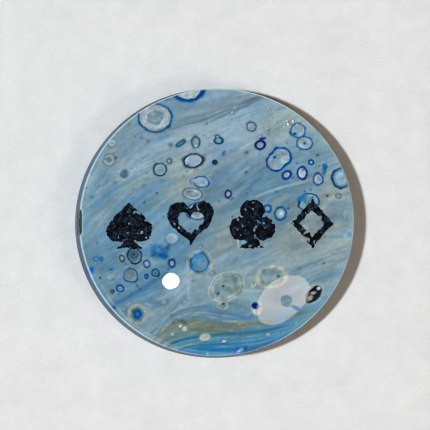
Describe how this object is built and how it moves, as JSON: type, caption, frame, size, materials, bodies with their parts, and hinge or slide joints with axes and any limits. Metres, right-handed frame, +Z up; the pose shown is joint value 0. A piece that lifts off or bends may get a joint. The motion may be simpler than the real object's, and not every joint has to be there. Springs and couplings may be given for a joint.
{
  "type": "dealer button",
  "caption": "Round dealer button: clear domed top over a poured-paint film with stamped card-suit marks, on a thin backing with a felt base.",
  "frame": {"origin": "centre of the flat face it rests on, the underside of the felt pad", "axes": "+Z up through the dome's crown, +Y towards the top of the marks, +X to their right; the dome's trimmed gate is at -X"},
  "size_m": [0.0502, 0.05, 0.0098],
  "materials": {
    "felt": "dense pressed felt, charcoal",
    "pad_glue": "dried translucent adhesive",
    "backing": "thin stiff sheet with paint runs on its edge",
    "poured_paint": "poured acrylic in steel blue, teal grey, white and olive with ringed cells",
    "mark_paint": "stamped black paint, rough edges and small voids",
    "clear_glue": "clear glue with a few air bubbles",
    "clear_acrylic": "clear polished moulding"
  },
  "bodies": {
    "root": {"felt_pad": "felt", "pad_adhesive": "pad_glue", "backing_disc": "backing", "pour_skin": "poured_paint", "spade_mark": "mark_paint", "heart_mark": "mark_paint", "club_mark": "mark_paint", "diamond_mark": "mark_paint", "face_adhesive": "clear_glue", "clear_dome": "clear_acrylic"}
  },
  "joints": []
}
